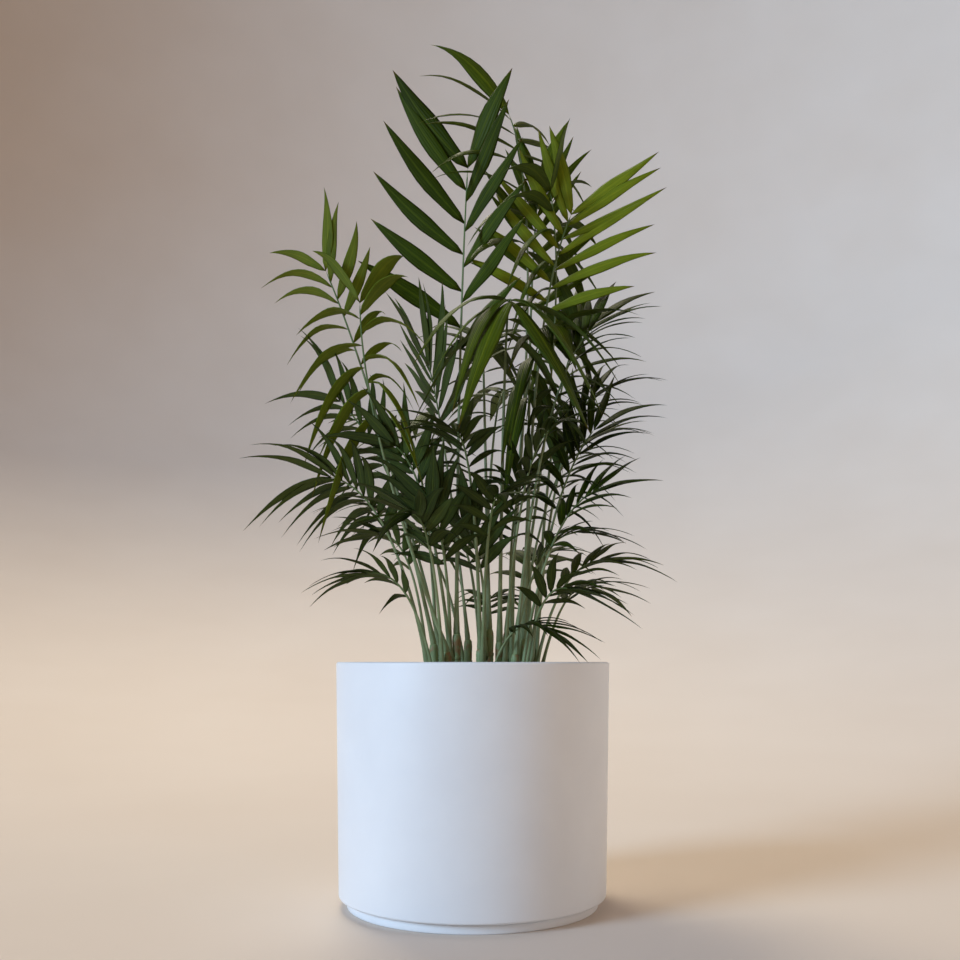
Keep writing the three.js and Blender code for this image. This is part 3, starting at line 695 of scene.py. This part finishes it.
def planter():
    low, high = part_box("planter")
    foot, rim = low.z / MM, high.z / MM
    rim_radius = high.x / MM
    saucer_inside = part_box("saucer")[1].x / MM - SAUCER_WALL
    foot_radius = saucer_inside - FOOT_CLEARANCE
    body_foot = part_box("saucer")[1].z / MM + FOOT_CLEARANCE
    inside = rim_radius - POT_WALL
    floor = foot + POT_FLOOR
    outline = [(DRAIN_RADIUS, foot), (foot_radius, foot), (foot_radius, body_foot), (BASE_RADIUS, body_foot),
               (rim_radius, rim), (inside, rim), (BASE_RADIUS - POT_WALL, floor), (DRAIN_RADIUS, floor),
               (DRAIN_RADIUS, foot)]
    piece = turned("matt_planter", outline, LIP_ROUNDING, POT_STEPS, GLAZE)
    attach(piece, "root")
    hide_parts("planter")


def saucer():
    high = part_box("saucer")[1]
    radius, height = high.x / MM, high.z / MM
    inside = radius - SAUCER_WALL
    outline = [(0, 0), (radius, 0), (radius, height), (inside, height), (inside, SAUCER_FLOOR),
               (0, SAUCER_FLOOR)]
    piece = turned("matt_saucer", outline, SAUCER_ROUNDING, POT_STEPS, GLAZE)
    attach(piece, "root")
    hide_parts("saucer")


def soil_height(radius):
    """The soil's level in millimetres above its middle: it falls away a little at the wall."""
    return -SOIL_FALL * min(1, max(0, (radius - 80) / 20)) ** 1.5


def soil():
    low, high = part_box("potting_soil")
    floor, top, edge = low.z / MM, high.z / MM, SOIL_RADIUS
    outline = [(0, floor), (SOIL_FOOT_RADIUS, floor), (edge, top - SOIL_FALL)]
    rings = [edge * (1 - i / 24) for i in range(1, 24)]
    outline += [(r, top + soil_height(r)) for r in rings] + [(0, top)]
    piece = turned("potting_mix", outline, 0, 120, SOIL)
    lumps = bpy.data.textures.new("lumps", "CLOUDS")
    lumps.noise_scale = 7 * MM
    lumps.noise_depth = 3
    only(piece)
    rough = piece.modifiers.new("rough", "DISPLACE")
    rough.texture = lumps
    rough.texture_coords = "LOCAL"
    rough.direction = "Z"
    rough.mid_level = 0.62
    rough.strength = 3 * MM
    bpy.ops.object.modifier_apply(modifier=rough.name)
    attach(piece, "root")
    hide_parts("potting_soil")


def lump_master(scale, seed):
    """A broken lump: a rough ball of a few faces, squashed, with its points pushed in and out."""
    bpy.ops.object.select_all(action="DESELECT")
    bpy.ops.mesh.primitive_ico_sphere_add(subdivisions=1, radius=1)
    lump = bpy.context.object
    bpy.ops.object.mode_set(mode="EDIT")
    bpy.ops.transform.resize(value=scale)
    bpy.ops.object.mode_set(mode="OBJECT")
    for number, vertex in enumerate(lump.data.vertices):
        vertex.co *= 1 + 0.28 * scatter(number, seed)
    return lump


def strewn(name, master, count, sizes, seed, material):
    """Copies of a lump strewn evenly over the soil, each with its own size and turn, joined in one piece."""
    pieces = []
    for number in range(count):
        radius = STREWN_RADIUS * math.sqrt((number + 0.5) / count) + 2 * scatter(number, seed)
        turn = math.radians(137.5 * number + 8 * scatter(number, seed + 1))
        x, y = radius * math.cos(turn), radius * math.sin(turn)
        size = blended(sizes[0], sizes[1], abs(scatter(number, seed + 2)) ** 2)
        lift = soil_height(radius) + 0.35 * size
        piece = copied(master, "lump")
        spin = Matrix.Rotation(math.pi * scatter(number, seed + 3), 4, "Z")
        tip = Matrix.Rotation(0.6 * scatter(number, seed + 4), 4, "X")
        piece.data.transform(Matrix.Translation(Vector((x, y, lift)) * MM + UP * SOIL_TOP)
                             @ Matrix.Scale(size * MM, 4) @ spin @ tip)
        pieces.append(piece)
    discard(master)
    piece = named(joined(pieces, name), name, material)
    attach(piece, "root")


def lamp(name, place, aim, size, power, colour):
    """A soft box at a place in metres, turned to what it lights."""
    light = bpy.data.lights.new(name, "AREA")
    light.size, light.energy, light.color = size, power, colour
    box = bpy.data.objects.new(name, light)
    box.location = place
    box.rotation_euler = (Vector(aim) - Vector(place)).to_track_quat("-Z", "Y").to_euler()
    bpy.context.scene.collection.objects.link(box)


def window_light():
    """Cool, wide light from the left, slanting down and towards the back."""
    window = bpy.data.lights.new("window_light", "SUN")
    window.energy, window.color, window.angle = 2.75, (0.48, 0.72, 1), math.radians(22)
    light = bpy.data.objects.new("window_light", window)
    light.rotation_euler = Vector((1.9, 1.2, -0.85)).to_track_quat("-Z", "Y").to_euler()
    bpy.context.scene.collection.objects.link(light)


def studio():
    """A pale paper cove all round, lit by cool window light from the left that passes the paper, a weak warm
    box on the right, and one from behind that comes through the leaves."""
    sweep = [math.radians(6 * i) for i in range(16)]
    curve = [(COVE_FLAT + COVE_REACH * math.sin(a), COVE_RISE * (1 - math.cos(a))) for a in sweep]
    cove = [(0, 0)] + curve + [(COVE_FLAT + COVE_REACH, COVE_TOP)]
    paper = turned("studio_floor", cove, 0, 96, PAPER)
    bpy.ops.object.shade_smooth()
    paper.visible_shadow = False
    window_light()
    plant = (0, 0, 0.4)
    lamp("warm_box", (1.8, -0.6, 0.7), plant, 0.9, 2.5, (1, 0.78, 0.6))
    lamp("back_box", (-0.6, 1.3, 2.3), plant, 0.9, 34, (1, 0.92, 0.72))
    world = bpy.data.worlds.new("studio_air")
    bpy.context.scene.world = world
    world.use_nodes = True
    air = world.node_tree.nodes["Background"]
    air.inputs["Color"].default_value = (1, 0.79, 0.63, 1)
    air.inputs["Strength"].default_value = 0.26


SLENDER, FULL = 8, 13  # the widths, in millimetres, of the slenderest and the fullest kinds of leaflet
TIP_FALL = 0.12

# The planter, its saucer, the soil and the studio's paper, in millimetres.
POT_WALL = 7
POT_FLOOR = 9
BASE_RADIUS = 102
DRAIN_RADIUS = 7
LIP_ROUNDING = 1.9
POT_STEPS = 160
FOOT_CLEARANCE = 1
SAUCER_WALL = 4
SAUCER_FLOOR = 3.2
SAUCER_ROUNDING = 1.2
SOIL_RADIUS = 99.5
SOIL_FOOT_RADIUS = 94
SOIL_FALL = 5
STREWN_RADIUS = 97
COVE_FLAT, COVE_REACH = 500, 3500
COVE_RISE, COVE_TOP = 2400, 4200

BLADE_MASTER, BLADE_PLACES = lens_master(8, 10)
STALK_MASTER, STALK_PLACES = lens_master(10, 30)

planter()
saucer()
soil()
strewn("soil_crumbs", lump_master((1, 0.8, 0.6), 5), 900, (0.8, 2.6), 50, SOIL)
strewn("bark_chips", lump_master((1, 0.5, 0.22), 6), 80, (2.5, 6), 60, BARK)
strewn("perlite_grains", lump_master((1, 0.9, 0.8), 7), 110, (0.8, 1.9), 70, PERLITE)
canes()
for number, row in enumerate(FRONDS):
    frond(row, number)
discard(BLADE_MASTER)
discard(STALK_MASTER)
studio()
bpy.context.scene.view_settings.view_transform = "Standard"
